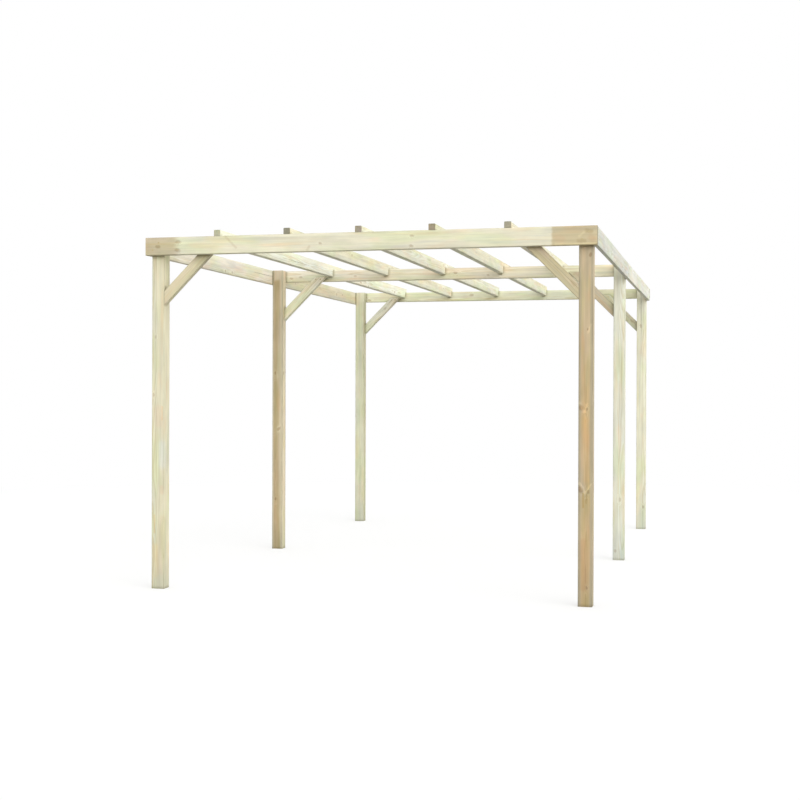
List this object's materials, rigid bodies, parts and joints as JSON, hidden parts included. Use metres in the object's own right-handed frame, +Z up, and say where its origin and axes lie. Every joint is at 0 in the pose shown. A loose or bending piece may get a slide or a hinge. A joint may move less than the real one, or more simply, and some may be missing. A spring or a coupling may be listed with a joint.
{
  "type": "carport frame",
  "caption": "Open timber carport frame: square posts, cross beams with angled braces, side beams, and rafters notched over the beams, ready for roofing.",
  "frame": {"origin": "on the ground at the centre of the plan", "axes": "+X to the right seen from the front, +Y from front to back, +Z up"},
  "size_m": [3.04, 5.12, 2.42],
  "materials": {
    "post_timber": "planed, pressure-treated, matt",
    "beam_timber": "planed, pressure-treated, matt",
    "side_beam_timber": "planed, pressure-treated, matt",
    "rafter_timber": "planed, pressure-treated, matt",
    "brace_timber": "planed, pressure-treated, matt"
  },
  "bodies": {
    "root": {"front_beam": "beam_timber", "front_left_post": "post_timber", "front_left_brace": "brace_timber", "front_right_post": "post_timber", "front_right_brace": "brace_timber", "middle_beam": "beam_timber", "middle_left_post": "post_timber", "middle_left_brace": "brace_timber", "middle_right_post": "post_timber", "middle_right_brace": "brace_timber", "rear_beam": "beam_timber", "rear_left_post": "post_timber", "rear_left_brace": "brace_timber", "rear_right_post": "post_timber", "rear_right_brace": "brace_timber", "left_side_beam_front": "side_beam_timber", "left_side_beam_rear": "side_beam_timber", "right_side_beam_front": "side_beam_timber", "right_side_beam_rear": "side_beam_timber", "rafter_1": "rafter_timber", "rafter_2": "rafter_timber", "rafter_3": "rafter_timber", "rafter_4": "rafter_timber", "rafter_5": "rafter_timber"}
  },
  "joints": []
}
